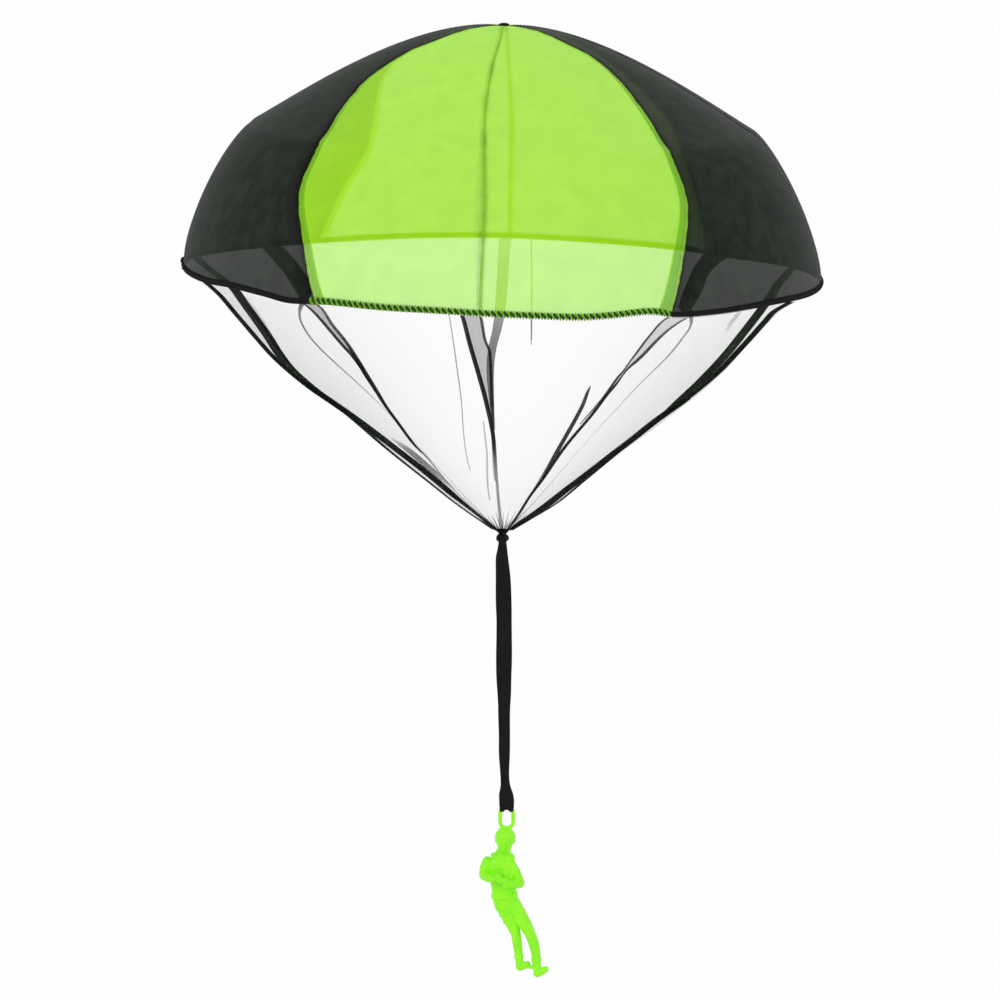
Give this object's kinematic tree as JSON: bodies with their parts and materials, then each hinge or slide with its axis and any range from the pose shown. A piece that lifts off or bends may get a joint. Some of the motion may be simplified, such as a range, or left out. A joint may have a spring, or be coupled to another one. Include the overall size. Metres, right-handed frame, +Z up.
{
  "type": "toy parachute",
  "caption": "Hand-thrown toy parachute: gored cloth canopy over a net funnel, a ribbon strap and a moulded plastic jumper hung by its ring.",
  "frame": {"origin": "crown of the canopy, where the gore tips meet", "axes": "+Z up, along the hanging toy; +X to the right of the figure's view from the front; -Y towards the front"},
  "size_m": [0.3352, 0.3352, 0.509],
  "materials": {
    "green_cloth": "sheer plain-woven polyester",
    "black_cloth": "sheer plain-woven polyester",
    "hem_thread": "overlocked polyester thread",
    "dark_thread": "matte polyester thread",
    "dark_net": "fine knitted net",
    "black_ribbon": "woven ribbon",
    "green_plastic": "moulded plastic, satin"
  },
  "bodies": {
    "root": {"gore_front_right": "green_cloth", "gore_side_right_front": "black_cloth", "gore_side_right_back": "black_cloth", "gore_back_right": "green_cloth", "gore_back_left": "green_cloth", "gore_side_left_back": "black_cloth", "gore_side_left_front": "black_cloth", "gore_front_left": "green_cloth", "crown_tack": "dark_thread", "rim_hem": "hem_thread", "net_front_right": "dark_net", "net_side_right_front": "dark_net", "net_side_right_back": "dark_net", "net_back_right": "dark_net", "net_back_left": "dark_net", "net_side_left_back": "dark_net", "net_side_left_front": "dark_net", "net_front_left": "dark_net", "net_gather": "dark_thread"},
    "knot": {"knot": "black_ribbon"},
    "strap": {"strap_ribbon": "black_ribbon"},
    "strap_end": {"strap_end": "black_ribbon"},
    "figure": {"ring_hitch": "black_ribbon", "figure": "green_plastic"}
  },
  "joints": [
    {"name": "knot_swing_side", "type": "hinge", "parent": "root", "child": "knot", "pos_m": [0, -0.0215, -0.2688], "axis": [0, 1, 0], "range_deg": [-80, 80]},
    {"name": "knot_swing_fore", "type": "hinge", "parent": "knot", "child": "strap", "pos_m": [0, -0.0215, -0.2688], "axis": [1, 0, 0], "range_deg": [-80, 80]},
    {"name": "strap_twist", "type": "hinge", "parent": "strap", "child": "strap_end", "pos_m": [0.0022, -0.0215, -0.3986], "axis": [0, 0, 1], "range_deg": [-180, 180]},
    {"name": "figure_tilt", "type": "hinge", "parent": "strap_end", "child": "figure", "pos_m": [0.0022, -0.0215, -0.4106], "axis": [1, 0, 0], "range_deg": [-120, 120]}
  ]
}
